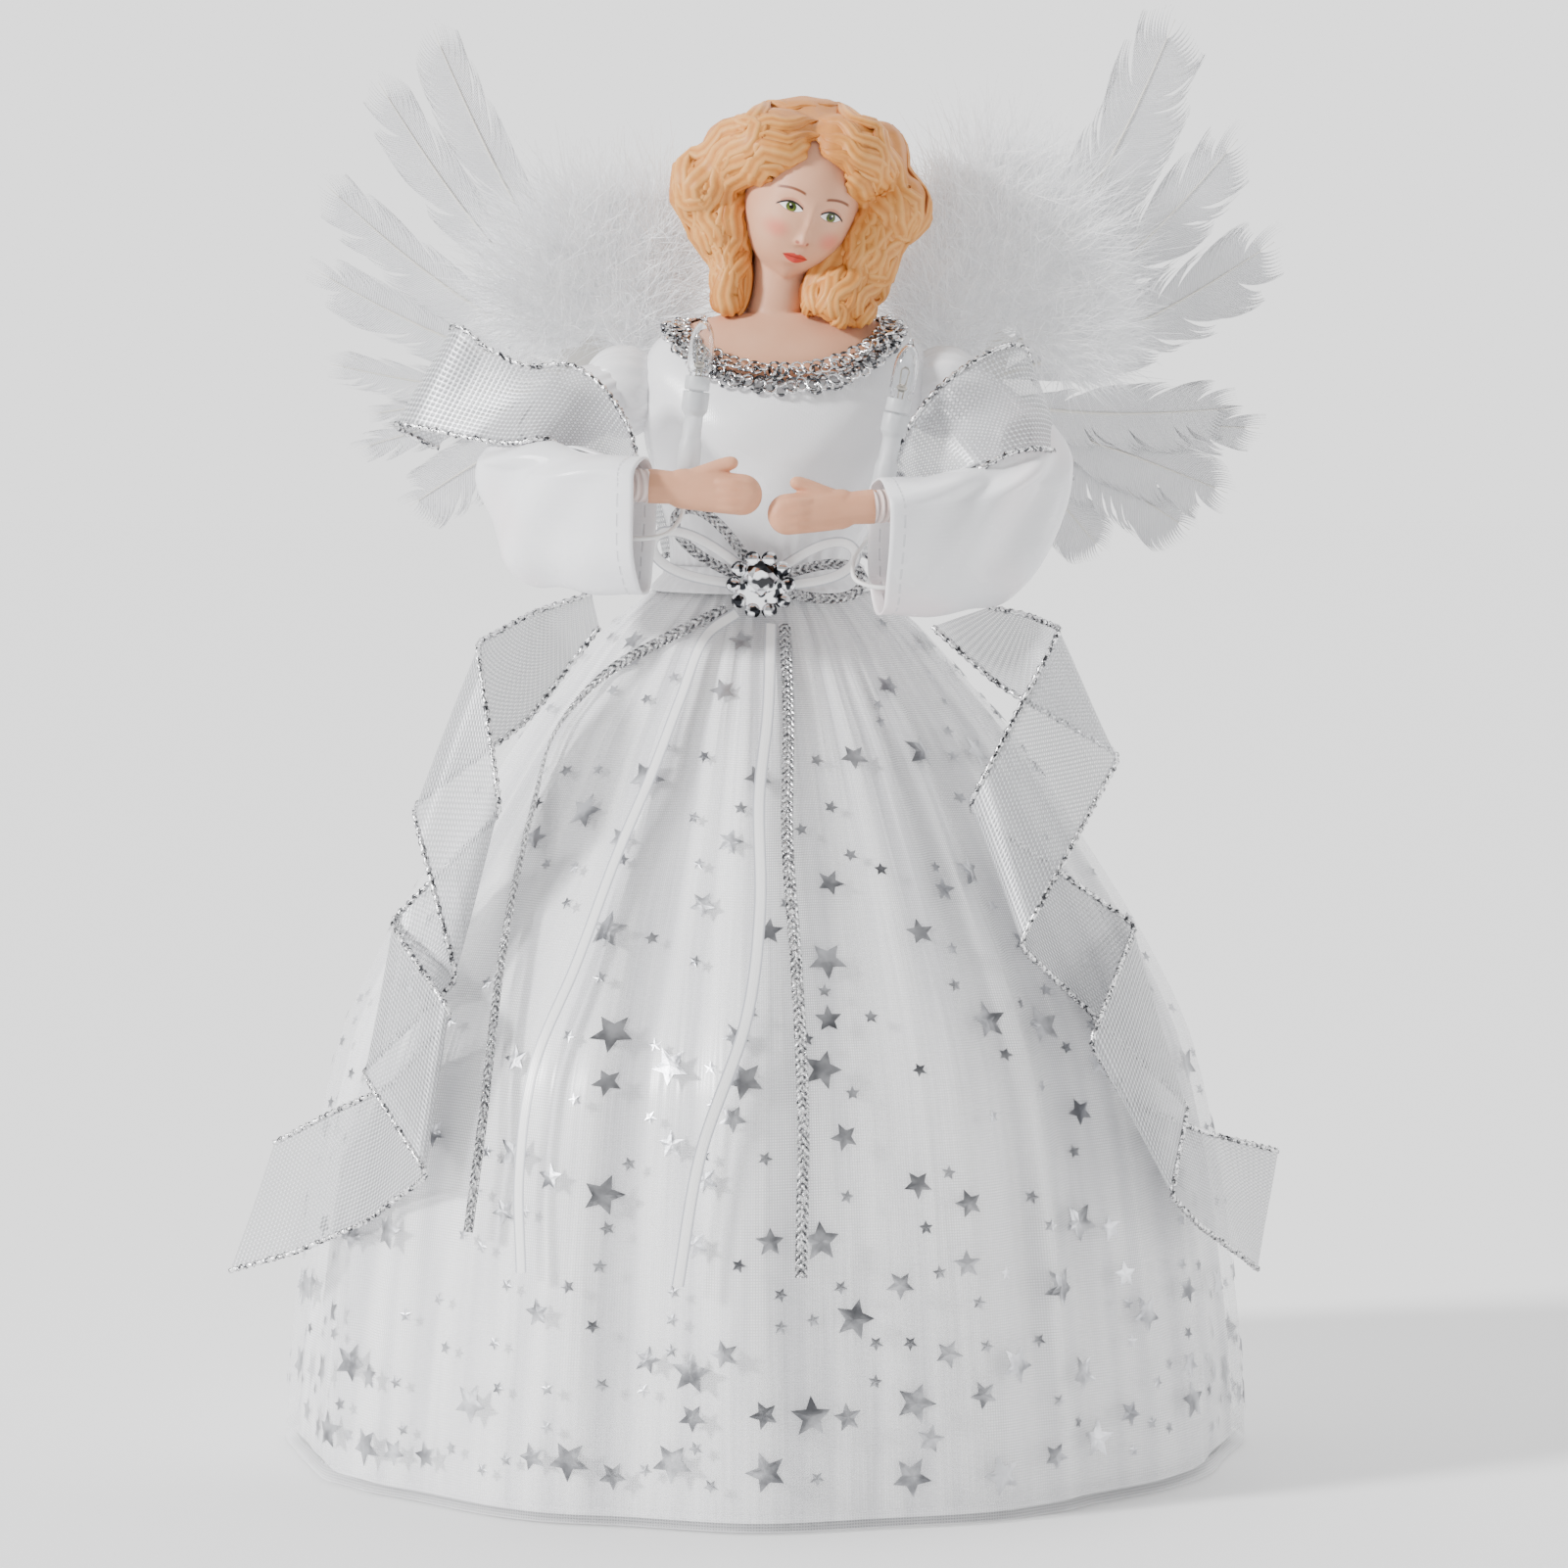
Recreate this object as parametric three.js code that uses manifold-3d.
// Angel tree topper: a doll on a hollow cone, with feather wings, a starred skirt and two candle lamps.
// Millimetres. The front faces -Y, +Z is up, and the origin is on the floor on the skirt's axis.
// Left and right are the figure's own: its left is at +X.
import * as THREE from "three";
import { mergeVertices } from "three/addons/utils/BufferGeometryUtils.js";
import Module from "manifold-3d";

const wasm = await Module();
wasm.setup();

const TAU = Math.PI * 2;
const radians = THREE.MathUtils.degToRad;
const lerp = THREE.MathUtils.lerp;

// Driving dimensions
const clearance = 0.3;
const overrun = 2;
const weldDistance = 0.0005;
const skirtHeight = 178;
const hemRadius = 98;
const waistRadius = 19;
const torsoHeight = 53;
const shoulderHalfWidth = 27.8;
const bustHalfDepth = 19;
const figureLean = 4.8;
const clothThickness = 0.7;
const ribbonThickness = 0.5;
const figureDepth = 50;

// The front view that outline points are read in: x to the right, y down, in points of a square view
const torsoHeightPoints = 265;
const viewPointWidth = torsoHeight / torsoHeightPoints;
const viewMiddlePoint = 800.5;
const eyeBackPoints = 6500;
const eyeRisePoints = 575;
const aimSidePoints = 20.5;
const aimHeightPoints = 675;
const waistHeightPoints = 890;
const hemRadiusPoints = 490;
const viewTilt = Math.atan2(eyeRisePoints, eyeBackPoints);
const viewReachPoints = Math.hypot(eyeRisePoints, eyeBackPoints);

const place = (x, y, z) => new THREE.Vector3(x, y, z);

// A point of the front view at a depth, as side and height in view points
function viewRay([across, down], depth) {
  const up = viewMiddlePoint - down;
  const forward = viewReachPoints * Math.cos(viewTilt) + up * Math.sin(viewTilt);
  const climb = up * Math.cos(viewTilt) - viewReachPoints * Math.sin(viewTilt);
  const reach = (depth / viewPointWidth + eyeBackPoints) / forward;
  const side = aimSidePoints + (across - viewMiddlePoint) * reach;
  const height = aimHeightPoints + eyeRisePoints + climb * reach;
  return [side, height];
}

// The same point on the upper figure, which stands on the waist
function seenAbove(point, depth) {
  const [side, height] = viewRay(point, depth);
  return place(side * viewPointWidth, depth, skirtHeight + (height - waistHeightPoints) * viewPointWidth);
}

// The same point beside or on the skirt, which follows the skirt's own size
function seenBelow(point, depth) {
  const [side, height] = viewRay(point, depth);
  const x = (side * hemRadius) / hemRadiusPoints;
  return place(x, depth, (height * skirtHeight) / waistHeightPoints);
}

// Geometry helpers

// A smooth function through rows of [parameter, value, value, ...]
function smoothTable(rows) {
  const size = rows[0].length - 1;
  const at = new THREE.CubicInterpolant(
    rows.map((row) => row[0]),
    rows.flatMap((row) => row.slice(1)),
    size,
    new Array(size),
  );
  return (parameter) => Array.from(at.evaluate(parameter));
}

function signedVolume(geometry) {
  const flat = geometry.index ? geometry.toNonIndexed() : geometry;
  const corners = flat.getAttribute("position");
  const a = place(0, 0, 0);
  const b = place(0, 0, 0);
  const c = place(0, 0, 0);
  let sum = 0;
  for (let i = 0; i < corners.count; i += 3) {
    a.fromBufferAttribute(corners, i);
    b.fromBufferAttribute(corners, i + 1);
    c.fromBufferAttribute(corners, i + 2);
    sum += a.dot(b.cross(c));
  }
  return sum / 6;
}

// Welds the corners and turns the faces outwards
function closedSurface(geometry) {
  const plain = geometry.clone();
  plain.deleteAttribute("normal");
  plain.deleteAttribute("uv");
  const merged = mergeVertices(plain, weldDistance);
  const corners = Array.from(merged.index.array);
  const kept = [];
  const flip = signedVolume(merged) < 0;
  for (let i = 0; i < corners.length; i += 3) {
    const [a, b, c] = corners.slice(i, i + 3);
    if (a === b || b === c || c === a) continue;
    kept.push(a, flip ? c : b, flip ? b : c);
  }
  merged.setIndex(kept);
  return merged;
}

function toSolid(geometry) {
  const closed = closedSurface(geometry);
  return new wasm.Manifold(
    new wasm.Mesh({
      numProp: 3,
      vertProperties: new Float32Array(closed.getAttribute("position").array),
      triVerts: new Uint32Array(closed.index.array),
    }),
  );
}

function toGeometry(solid) {
  const mesh = solid.getMesh();
  const geometry = new THREE.BufferGeometry();
  geometry.setAttribute("position", new THREE.BufferAttribute(mesh.vertProperties, 3));
  geometry.setIndex(new THREE.BufferAttribute(mesh.triVerts, 1));
  return geometry;
}

const joined = (...geometries) => toGeometry(geometries.map(toSolid).reduce((a, b) => a.add(b)));
const cut = (body, ...cutters) => toGeometry(cutters.map(toSolid).reduce((a, b) => a.subtract(b), toSolid(body)));

// A skin over rings of points. Open skins are capped, closed ones run back into their first ring.
// Faces on the far half are split the other way, so that both sides of a thin wall are split alike.
function loft(rings, runsBack = false) {
  const points = [];
  const starts = [];
  for (const ring of rings) {
    starts.push(points.length);
    points.push(...ring);
  }
  const around = Math.max(...rings.map((ring) => ring.length));
  const corners = [];
  const spans = runsBack ? rings.length : rings.length - 1;
  for (let i = 0; i < spans; i++) {
    const next = (i + 1) % rings.length;
    const here = (j) => starts[i] + (j % rings[i].length);
    const there = (j) => starts[next] + (j % rings[next].length);
    for (let j = 0; j < around; j++) {
      const k = (j + 1) % around;
      const isFarHalf = runsBack ? i >= rings.length / 2 : j >= around / 2;
      if (rings[i].length > 1) corners.push(here(j), here(k), isFarHalf ? there(k) : there(j));
      if (rings[next].length > 1) corners.push(isFarHalf ? here(j) : here(k), there(k), there(j));
    }
  }
  if (!runsBack) {
    capRing(points, corners, rings[0], starts[0], false);
    capRing(points, corners, rings.at(-1), starts.at(-1), true);
  }
  const geometry = new THREE.BufferGeometry().setFromPoints(points);
  geometry.setIndex(corners);
  return closedSurface(geometry);
}

function capRing(points, corners, ring, start, isLast) {
  if (ring.length === 1) return;
  const middle = ring.reduce((sum, point) => sum.add(point), place(0, 0, 0)).divideScalar(ring.length);
  points.push(middle);
  for (let j = 0; j < ring.length; j++) {
    const a = start + j;
    const b = start + ((j + 1) % ring.length);
    corners.push(points.length - 1, isLast ? a : b, isLast ? b : a);
  }
}

// A level ring of points on an ellipse, with an optional change of radius at each angle
function ellipseRing(centre, halfWidth, halfDepth, columns, grow = () => 0) {
  const ring = [];
  for (let j = 0; j < columns; j++) {
    const angle = (j / columns) * TAU;
    const more = grow(angle);
    ring.push(
      place(
        centre.x + (halfWidth + more) * Math.cos(angle),
        centre.y + (halfDepth + more) * Math.sin(angle),
        centre.z,
      ),
    );
  }
  return ring;
}

// A profile of [radius, height] turned about the vertical
function turned(profile, segments) {
  const outline = profile.map(([radius, height]) => new THREE.Vector2(radius, height));
  return closedSurface(new THREE.LatheGeometry(outline, segments).rotateX(Math.PI / 2));
}

// A flat outline in the XZ plane, extruded towards +Y from a depth
function plate(shape, depth, thickness) {
  const flat = new THREE.ExtrudeGeometry(shape, { depth: thickness, bevelEnabled: false, curveSegments: 6 });
  return closedSurface(flat.rotateX(Math.PI / 2).translate(0, depth + thickness, 0));
}

function ball(centre, radius, across = 12, down = 8) {
  const sphere = new THREE.SphereGeometry(1, across, down);
  const size = radius.isVector3 ? radius : place(radius, radius, radius);
  return closedSurface(sphere.scale(size.x, size.y, size.z).translate(centre.x, centre.y, centre.z));
}

// A round tube along a curve, whose radius may change
function tube(curve, radiusAt, sides, steps) {
  const frames = curve.computeFrenetFrames(steps, false);
  const rings = [];
  for (let i = 0; i <= steps; i++) {
    const middle = curve.getPointAt(i / steps);
    const radius = radiusAt(i / steps);
    const ring = [];
    for (let j = 0; j < sides; j++) {
      const angle = (j / sides) * TAU;
      ring.push(
        middle
          .clone()
          .addScaledVector(frames.normals[i], radius * Math.cos(angle))
          .addScaledVector(frames.binormals[i], radius * Math.sin(angle)),
      );
    }
    rings.push(ring);
  }
  return loft(rings);
}

// A thin band between two edges, each a list of points, made smooth and given a thickness
function band(firstEdge, secondEdge, steps) {
  const first = new THREE.CatmullRomCurve3(firstEdge, false, "centripetal");
  const second = new THREE.CatmullRomCurve3(secondEdge, false, "centripetal");
  const rings = [];
  for (let i = 0; i <= steps; i++) {
    const share = i / steps;
    const a = first.getPoint(share);
    const b = second.getPoint(share);
    const along = first.getTangent(share).add(second.getTangent(share));
    const normal = b.clone().sub(a).cross(along).normalize().multiplyScalar(ribbonThickness / 2);
    rings.push([a.clone().add(normal), b.clone().add(normal), b.clone().sub(normal), a.clone().sub(normal)]);
  }
  return loft(rings);
}

// Materials: one for each piece, from one short list of finishes
const finishes = {
  card: { color: 0xe9e6df, roughness: 0.8, metalness: 0 },
  bisque: { color: 0xe1b9a0, roughness: 0.6, metalness: 0 },
  hair: { color: 0xdeaa6e, roughness: 0.6, metalness: 0 },
  satin: { color: 0xf4f4f6, roughness: 0.35, metalness: 0 },
  organza: { color: 0xf7f7fa, roughness: 0.4, metalness: 0 },
  net: { color: 0xf0f0f0, roughness: 0.9, metalness: 0 },
  silver: { color: 0xb9bbc0, roughness: 0.3, metalness: 0.9 },
  mirror: { color: 0xdfe2e6, roughness: 0.08, metalness: 1 },
  sheer: { color: 0xe6e7ea, roughness: 0.5, metalness: 0.1 },
  feather: { color: 0xfafafa, roughness: 0.7, metalness: 0 },
  padding: { color: 0xe8d2c8, roughness: 0.9, metalness: 0 },
  frosted: { color: 0xf2f4f5, roughness: 0.45, metalness: 0 },
  glass: { color: 0xf8fbff, roughness: 0.03, metalness: 0 },
  wire: { color: 0xf5f5f3, roughness: 0.5, metalness: 0 },
};

function piece(name, geometry, finish) {
  const mesh = new THREE.Mesh(closedSurface(geometry), new THREE.MeshStandardMaterial(finishes[finish]));
  mesh.name = name;
  return mesh;
}

// Skirts

const skirtProfileShares = [
  [0, 0.995],
  [0.1, 0.985],
  [0.19, 0.968],
  [0.34, 0.93],
  [0.46, 0.88],
  [0.51, 0.845],
  [0.56, 0.8],
  [0.61, 0.75],
  [0.71, 0.635],
  [0.82, 0.505],
  [0.88, 0.415],
  [0.94, 0.32],
  [0.98, 0.235],
  [1, 0.194],
];
const skirtProfile = smoothTable(skirtProfileShares);
const waistFlatteningShare = 0.14;
const flatteningStartShare = 0.7;
const foldCount = 12;
const foldDepth = 2.2;
const slowFoldCount = 5;
const slowFoldShare = 0.35;
const foldFadeShare = 0.96;
const hemLift = 0.4;

function skirtDepthShare(heightShare) {
  const rise = THREE.MathUtils.smoothstep(heightShare, flatteningStartShare, 1);
  return 1 - waistFlatteningShare * rise;
}

function skirtRadius(z) {
  const share = THREE.MathUtils.clamp(z / skirtHeight, 0, 1);
  const shift = waistRadius - hemRadius * skirtProfileShares.at(-1)[1];
  return hemRadius * skirtProfile(share)[0] + shift * share;
}

// The folds die out towards the waist
function foldFade(heightShare) {
  return 1 - THREE.MathUtils.smoothstep(heightShare, flatteningStartShare, foldFadeShare);
}

function skirtFold(angle, heightShare) {
  const waves = Math.cos(foldCount * angle) + slowFoldShare * Math.cos(slowFoldCount * angle + 1);
  return (foldDepth * foldFade(heightShare) * waves) / 2;
}

// The depth of the skirt's front at a place beside its axis, standing off by a gap
function skirtFront(x, z, gap) {
  const crest = (foldDepth * foldFade(z / skirtHeight) * (1 + slowFoldShare)) / 2;
  const radius = skirtRadius(z) + crest + gap;
  const inside = 1 - (x / radius) ** 2;
  return -skirtDepthShare(z / skirtHeight) * radius * Math.sqrt(Math.max(inside, 0));
}

function skirtLayer({ waistInset, hemInset, thickness, bottom, foldShare, columns }) {
  const top = skirtHeight - clearance;
  const heights = skirtRowShares.map((share) => Math.min(share * skirtHeight, top)).filter((z) => z > bottom + overrun);
  heights.push(bottom);
  const surface = (inset) =>
    heights.map((z) => {
      const heightShare = z / skirtHeight;
      const radius = skirtRadius(z) - lerp(hemInset, waistInset, Math.max(2 * heightShare - 1, 0)) - inset;
      const fold = (angle) => foldShare * skirtFold(angle, heightShare);
      return ellipseRing(place(0, 0, z), radius, radius * skirtDepthShare(heightShare), columns, fold);
    });
  return loft([...surface(0), ...surface(thickness).reverse()], true);
}

const skirtRowShares = [1, 0.96, 0.89, 0.8, 0.68, 0.55, 0.34];
const netThickness = 0.6;
const overskirtColumns = 60;
const underskirtColumns = 48;
const petticoatColumns = 24;
const underskirtHemGap = 4;
const underskirtInset = 2.6;
const petticoatLift = 26;
const petticoatInset = 6;
const underskirtWaistInset = clothThickness + clearance;
const petticoatWaistInset = 2 * underskirtWaistInset;

function makeSkirts(figure) {
  const overskirt = skirtLayer({
    waistInset: 0,
    hemInset: 0,
    thickness: clothThickness,
    bottom: hemLift,
    foldShare: 1,
    columns: overskirtColumns,
  });
  const underskirt = skirtLayer({
    waistInset: underskirtWaistInset,
    hemInset: underskirtInset,
    thickness: clothThickness,
    bottom: underskirtHemGap,
    foldShare: 1,
    columns: underskirtColumns,
  });
  const petticoat = skirtLayer({
    waistInset: petticoatWaistInset,
    hemInset: petticoatInset,
    thickness: netThickness,
    bottom: petticoatLift,
    foldShare: 0,
    columns: petticoatColumns,
  });
  figure.add(piece("overskirt", overskirt, "organza"));
  figure.add(piece("underskirt", underskirt, "satin"));
  figure.add(piece("petticoat", petticoat, "net"));
}

// Cone: it drops over the top shoot of the tree, and its rim is what the topper stands on

const coneTopDrop = 12;
const coneTopHeight = skirtHeight - coneTopDrop;
const coneBaseRadius = 57;
const coneTopRadius = 15.8;
const coneWall = 1.2;
const coneRimWidth = 4;
const coneRimHeight = 1.6;
const coneSegments = 32;

function makeCone(figure) {
  const profile = [
    [coneBaseRadius, 0],
    [coneBaseRadius, coneRimHeight],
    [coneBaseRadius - coneRimWidth + coneWall, coneRimHeight],
    [coneTopRadius, coneTopHeight],
    [coneTopRadius - coneWall, coneTopHeight],
    [coneBaseRadius - coneRimWidth, 0],
    [coneBaseRadius, 0],
  ];
  figure.add(piece("tree_cone", turned(profile, coneSegments), "card"));
}

// Torso: one family of sections, which the body form, the breastplate and the bodice share

const torsoShares = [
  [-0.05, 0.633, 0.79, 0, 0],
  [0, 0.633, 0.79, 0, 0],
  [0.15, 0.683, 0.84, 0, 0.15],
  [0.34, 0.81, 0.92, 0.03, 0.4],
  [0.51, 0.917, 1, 0.055, 0.62],
  [0.66, 0.982, 0.947, 0.03, 0.8],
  [0.79, 1, 0.79, 0, 0.9],
  [0.887, 0.917, 0.63, -0.03, 0.94],
  [0.953, 0.72, 0.5, -0.05, 0.97],
  [1, 0.43, 0.41, -0.05, 1],
];
const torsoTable = smoothTable(torsoShares);
const torsoColumns = 22;
const bodiceThickness = 0.8;
const torsoRowShares = [0.14, 0.3, 0.42, 0.5, 0.58, 0.68, 0.77, 0.85, 0.91, 0.96];
const breastplateStartShare = 0.5;

function torsoAt(z) {
  const [width, depth, forward, lean] = torsoTable((z - skirtHeight) / torsoHeight);
  return {
    halfWidth: width * shoulderHalfWidth,
    halfDepth: depth * bustHalfDepth,
    middle: place(lean * figureLean, -forward * bustHalfDepth, z),
  };
}

function torsoSolid(offset, low, high) {
  const between = torsoRowShares.map((share) => skirtHeight + share * torsoHeight);
  const levels = [low, ...between.filter((z) => z > low + clearance && z < high - clearance), high];
  const rings = levels.map((z) => {
    const { halfWidth, halfDepth, middle } = torsoAt(z);
    return ellipseRing(middle, halfWidth + offset, halfDepth + offset, torsoColumns);
  });
  return loft(rings);
}

const torsoTop = skirtHeight + torsoHeight;
const breastplateBottom = skirtHeight + breastplateStartShare * torsoHeight;
const bodiceBottom = skirtHeight + clearance;
const bodiceOutside = clearance + bodiceThickness;
const spigotLength = 7;
const bodySegments = 18;

// The body form plugs into the cone and fills the skirts' waist
function makeBodyForm(figure) {
  const block = torsoSolid(0, skirtHeight, breastplateBottom - clearance);
  const flangeRadius = waistRadius - petticoatWaistInset - netThickness - clearance;
  const flangeDepth = flangeRadius * (1 - waistFlatteningShare);
  const flangeLevels = [coneTopHeight + clearance, skirtHeight + clearance / 2];
  const flange = loft(flangeLevels.map((z) => ellipseRing(place(0, 0, z), flangeRadius, flangeDepth, bodySegments)));
  const spigotRadius = coneTopRadius - coneWall - clearance;
  const spigot = turned(
    [
      [0, coneTopHeight - spigotLength],
      [spigotRadius - clearance, coneTopHeight - spigotLength],
      [spigotRadius, coneTopHeight - spigotLength + clearance],
      [spigotRadius, coneTopHeight + overrun],
      [0, coneTopHeight + overrun],
    ],
    bodySegments,
  );
  figure.add(piece("body_form", joined(block, flange, spigot), "card"));
}

// Neckline: an upright oval through the bodice
const necklineHalfWidth = 21.5;
const necklineHalfDepth = 15.6;
const necklineForward = 2;
const necklineSide = 4.2;
const trimRadius = 2.5;
const trimLoopCount = 18;
const trimLoopShare = 0.16;
const trimSeatShare = 0.55;
const trimSteps = 36;
const trimSides = 5;
const necklineColumns = 24;
const skinSearchSteps = 30;

// The height at which the torso's skin passes through a place, searched from the bust up
function torsoSkinHeight(x, y, offset) {
  let low = breastplateBottom;
  let high = torsoTop;
  for (let i = 0; i < skinSearchSteps; i++) {
    const z = (low + high) / 2;
    const { halfWidth, halfDepth, middle } = torsoAt(z);
    const reach = Math.hypot((x - middle.x) / (halfWidth + offset), (y - middle.y) / (halfDepth + offset));
    if (reach < 1) low = z;
    else high = z;
  }
  return low;
}

function makeBodice(figure) {
  const outer = torsoSolid(bodiceOutside, bodiceBottom, torsoTop);
  const inner = torsoSolid(clearance, bodiceBottom - overrun, torsoTop + clearance);
  const levels = [breastplateBottom, torsoTop + overrun];
  const neckHole = loft(
    levels.map((z) =>
      ellipseRing(place(necklineSide, -necklineForward, z), necklineHalfWidth, necklineHalfDepth, necklineColumns),
    ),
  );
  figure.add(piece("bodice", cut(outer, inner, neckHole), "satin"));
}

class ClosedRoute extends THREE.Curve {
  constructor(pointAt) {
    super();
    this.pointAt = pointAt;
  }
  getPoint(share, target = place(0, 0, 0)) {
    return target.copy(this.pointAt(share));
  }
}

function makeNeckTrim(figure) {
  const offset = bodiceOutside + trimRadius * trimSeatShare;
  const route = (share) => {
    const angle = share * TAU;
    const x = necklineSide + necklineHalfWidth * Math.cos(angle);
    const y = -necklineForward + necklineHalfDepth * Math.sin(angle);
    return place(x, y, torsoSkinHeight(x, y, offset));
  };
  const curve = new ClosedRoute(route);
  const frames = curve.computeFrenetFrames(trimSteps, true);
  const rings = [];
  for (let i = 0; i < trimSteps; i++) {
    const middle = curve.getPointAt(i / trimSteps);
    const radius = trimRadius * (1 + trimLoopShare * Math.cos((i / trimSteps) * trimLoopCount * TAU));
    const ring = [];
    for (let j = 0; j < trimSides; j++) {
      const angle = (j / trimSides) * TAU;
      ring.push(
        middle
          .clone()
          .addScaledVector(frames.normals[i], radius * Math.cos(angle))
          .addScaledVector(frames.binormals[i], radius * Math.sin(angle)),
      );
    }
    rings.push(ring);
  }
  const trim = loft(rings, true);
  const skin = torsoSolid(bodiceOutside + clearance, breastplateBottom, torsoTop);
  figure.add(piece("neck_trim", cut(trim, skin), "silver"));
}

// Waistband
const waistbandHeight = 5;
const waistbandThickness = 0.8;
const waistbandDrop = 3;
const waistbandGather = 0.25;
const waistbandGathers = 12;
const waistbandColumns = 24;

// The band's inner half depth: it flares below the waist with the skirt
function waistbandHalf(z) {
  const flare = Math.max(skirtRadius(Math.min(z, skirtHeight)) - waistRadius, 0);
  return waistRadius + clearance + waistbandGather + flare;
}

function waistbandRing(z, thickness) {
  const gather = (angle) => waistbandGather * Math.cos(waistbandGathers * angle);
  const half = waistbandHalf(z);
  const depth = half * (1 - waistFlatteningShare) + clearance;
  return ellipseRing(place(0, 0, z), half + thickness, depth + thickness, waistbandColumns, gather);
}

function makeWaistband(figure) {
  const levels = [skirtHeight - waistbandDrop, skirtHeight, skirtHeight - waistbandDrop + waistbandHeight];
  const outside = levels.map((z) => waistbandRing(z, waistbandThickness));
  const inside = levels.map((z) => waistbandRing(z, 0)).reverse();
  figure.add(piece("waistband", loft([...outside, ...inside], true), "satin"));
}

// Head, neck and breastplate in one casting
const headHalfWidth = 11.6;
const headHalfDepth = 13.6;
const headHalfHeight = 16.2;
const headSide = 7.6;
const headForward = 2.5;
const headRise = 75.5;
const headRollDegrees = 15.5;
const headPitchDegrees = 11;
const headYawDegrees = 12;
const neckRadius = 6.2;
const neckBase = 0.9;
const neckTopSide = 5.2;
const neckTopDrop = 8;
const neckBaseShare = 0.86;
const neckFlareShare = 0.12;
const neckColumns = 14;
const headColumns = 18;
const headRows = 14;
// Each feature: direction across, forward, up, then its spread and its height, as shares of the head
const faceShares = [
  [0, -0.93, -0.36, 0.13, 0.12],
  [0, -0.99, -0.12, 0.1, 0.05],
  [0, -0.8, -0.6, 0.14, 0.03],
  [0, -0.5, -0.86, 0.24, 0.05],
  [0.36, -0.93, 0.02, 0.16, -0.05],
  [-0.36, -0.93, 0.02, 0.16, -0.05],
  [0.5, -0.8, -0.3, 0.24, 0.02],
  [-0.5, -0.8, -0.3, 0.24, 0.02],
];
const jawNarrowShare = 0.24;

const headMiddle = place(headSide, -headForward, skirtHeight + headRise);

function headTurn() {
  const turn = new THREE.Euler(radians(headPitchDegrees), radians(headRollDegrees), radians(headYawDegrees), "ZYX");
  return new THREE.Matrix4().makeRotationFromEuler(turn).setPosition(headMiddle);
}

function headSolid(offset) {
  const sphere = new THREE.SphereGeometry(1, headColumns, headRows).rotateX(Math.PI / 2);
  const corners = sphere.getAttribute("position");
  const point = place(0, 0, 0);
  for (let i = 0; i < corners.count; i++) {
    point.fromBufferAttribute(corners, i);
    let swell = 1;
    for (const [across, forward, up, spread, height] of faceShares) {
      const gap = Math.hypot(point.x - across, point.y - forward, point.z - up);
      swell += height * Math.exp(-((gap / spread) ** 2));
    }
    const narrow = 1 - jawNarrowShare * Math.max(-point.z, 0) ** 2;
    corners.setXYZ(
      i,
      point.x * narrow * (swell * headHalfWidth + offset),
      point.y * (swell * headHalfDepth + offset),
      point.z * (swell * headHalfHeight + offset),
    );
  }
  return closedSurface(sphere).applyMatrix4(headTurn());
}

function neckSolid(offset) {
  const low = place(neckBase, 0, skirtHeight + neckBaseShare * torsoHeight);
  const high = place(neckTopSide, 0, skirtHeight + headRise - neckTopDrop);
  const levels = [0, 1].map((share) => {
    const flare = 1 + neckFlareShare * (2 * share - 1) ** 2;
    const middle = low.clone().lerp(high, share);
    return ellipseRing(middle, neckRadius * flare + offset, neckRadius * flare + offset, neckColumns);
  });
  return loft(levels);
}

function makeHead(figure) {
  const breastplate = torsoSolid(0, breastplateBottom, torsoTop);
  figure.add(piece("head_and_shoulders", joined(breastplate, neckSolid(0), headSolid(0)), "bisque"));
}

// Hair: moulded waves in lobes round the head's middle. Each row: side, back, rise, then half sizes, in shares of hairSize
const hairLobeShares = [
  [0.02, 0.42, 0.32, 0.99, 0.98, 0.93],
  [-0.32, -0.22, 0.62, 0.62, 0.6, 0.48],
  [0.5, -0.15, 0.52, 0.6, 0.62, 0.52],
  [-0.76, 0.08, 0.52, 0.44, 0.56, 0.48],
  [-1.13, 0.14, 0.16, 0.45, 0.5, 0.45],
  [-0.92, 0.2, -0.23, 0.4, 0.5, 0.52],
  [-0.84, 0.02, -0.95, 0.24, 0.32, 0.66],
  [0.91, 0.26, 0.46, 0.36, 0.5, 0.5],
  [1.06, 0.3, -0.08, 0.46, 0.56, 0.45],
  [0.76, 0.14, -0.64, 0.38, 0.5, 0.62],
  [0.42, -0.16, -1.2, 0.45, 0.44, 0.42],
];
const hairSize = 17.2;
const hairWaveShare = 0.05;
const hairWaves = 7;
const hairWaveSlant = 0.6;
const hairColumns = 10;
const hairRows = 8;

function hairLobe([side, back, rise, wide, deep, tall]) {
  const sphere = new THREE.SphereGeometry(1, hairColumns, hairRows).rotateX(Math.PI / 2);
  const corners = sphere.getAttribute("position");
  const point = place(0, 0, 0);
  const centre = place(side, back, rise).multiplyScalar(hairSize).add(headMiddle);
  for (let i = 0; i < corners.count; i++) {
    point.fromBufferAttribute(corners, i);
    const wave = 1 + hairWaveShare * Math.sin(hairWaves * (point.z + hairWaveSlant * Math.abs(point.x)));
    corners.setXYZ(
      i,
      centre.x + point.x * wide * hairSize * wave,
      centre.y + point.y * deep * hairSize * wave,
      centre.z + point.z * tall * hairSize,
    );
  }
  return closedSurface(sphere);
}

const faceOpenSide = 10.8;
const faceOpenHeight = 14.6;
const faceOpenDrop = 3.4;
const faceOpenForward = 12;

// The hair is open in front of the face
function faceOpening() {
  const opening = ball(place(0, -faceOpenForward, -faceOpenDrop), place(faceOpenSide, headHalfDepth, faceOpenHeight), 12, 8);
  return opening.applyMatrix4(headTurn());
}

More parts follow.
